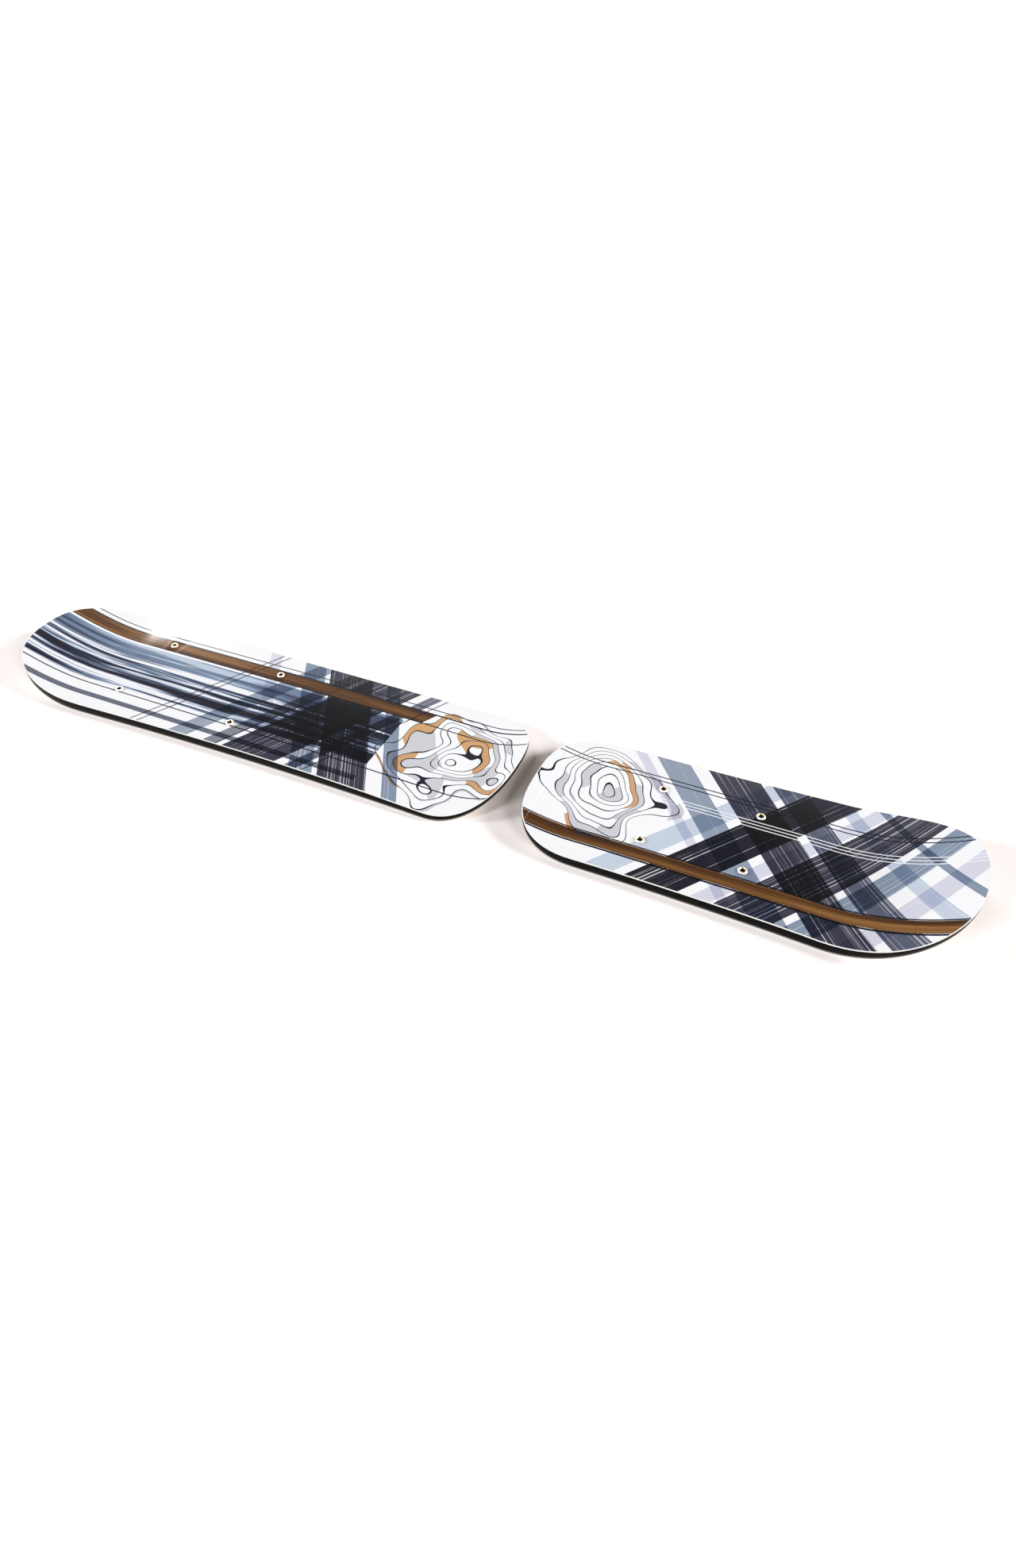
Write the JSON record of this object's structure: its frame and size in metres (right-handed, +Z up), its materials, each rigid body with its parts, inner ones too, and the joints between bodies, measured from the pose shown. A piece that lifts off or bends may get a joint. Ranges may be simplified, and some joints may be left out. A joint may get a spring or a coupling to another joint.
{
  "type": "pair of powder skis",
  "caption": "Pair of wide powder skis, one longer than the other, laid in line base down, each with a glossy printed topsheet, steel edges and inserts for a binding or bracket.",
  "frame": {"origin": "on the floor under the middle of the pair", "axes": "+X along both skis towards their tips, +Z up, +Y to the left of a rider facing the tips"},
  "size_m": [1.515, 0.2536, 0.075],
  "materials": {
    "topsheet": "gloss, printed",
    "sidewall": "matte, milled",
    "edge": "ground",
    "running_base": "waxed, stone ground",
    "laminate": "resin",
    "ash": "planed",
    "poplar": "planed",
    "spacer": "sanded",
    "insert": "machined",
    "screw": "nickel plated"
  },
  "bodies": {
    "root": {"long_ski_running_base": "running_base", "long_ski_edge_left": "edge", "long_ski_edge_right": "edge", "long_ski_sidewall_left": "sidewall", "long_ski_sidewall_right": "sidewall", "long_ski_lower_laminate": "laminate", "long_ski_upper_laminate": "laminate", "long_ski_tail_spacer": "spacer", "long_ski_tip_spacer": "spacer", "long_ski_topsheet": "topsheet", "long_ski_stringer_1": "poplar", "long_ski_stringer_2": "ash", "long_ski_stringer_3": "poplar", "long_ski_stringer_4": "poplar", "long_ski_stringer_5": "ash", "long_ski_stringer_6": "poplar", "long_ski_insert_1": "insert", "long_ski_screw_1": "screw", "long_ski_insert_2": "insert", "long_ski_screw_2": "screw", "long_ski_insert_3": "insert", "long_ski_screw_3": "screw", "long_ski_insert_4": "insert", "long_ski_screw_4": "screw", "short_ski_running_base": "running_base", "short_ski_edge_left": "edge", "short_ski_edge_right": "edge", "short_ski_sidewall_left": "sidewall", "short_ski_sidewall_right": "sidewall", "short_ski_lower_laminate": "laminate", "short_ski_upper_laminate": "laminate", "short_ski_tail_spacer": "spacer", "short_ski_tip_spacer": "spacer", "short_ski_topsheet": "topsheet", "short_ski_stringer_1": "poplar", "short_ski_stringer_2": "ash", "short_ski_stringer_3": "poplar", "short_ski_stringer_4": "poplar", "short_ski_stringer_5": "ash", "short_ski_stringer_6": "poplar", "short_ski_insert_1": "insert", "short_ski_screw_1": "screw", "short_ski_insert_2": "insert", "short_ski_screw_2": "screw", "short_ski_insert_3": "insert", "short_ski_screw_3": "screw", "short_ski_insert_4": "insert", "short_ski_screw_4": "screw"}
  },
  "joints": []
}
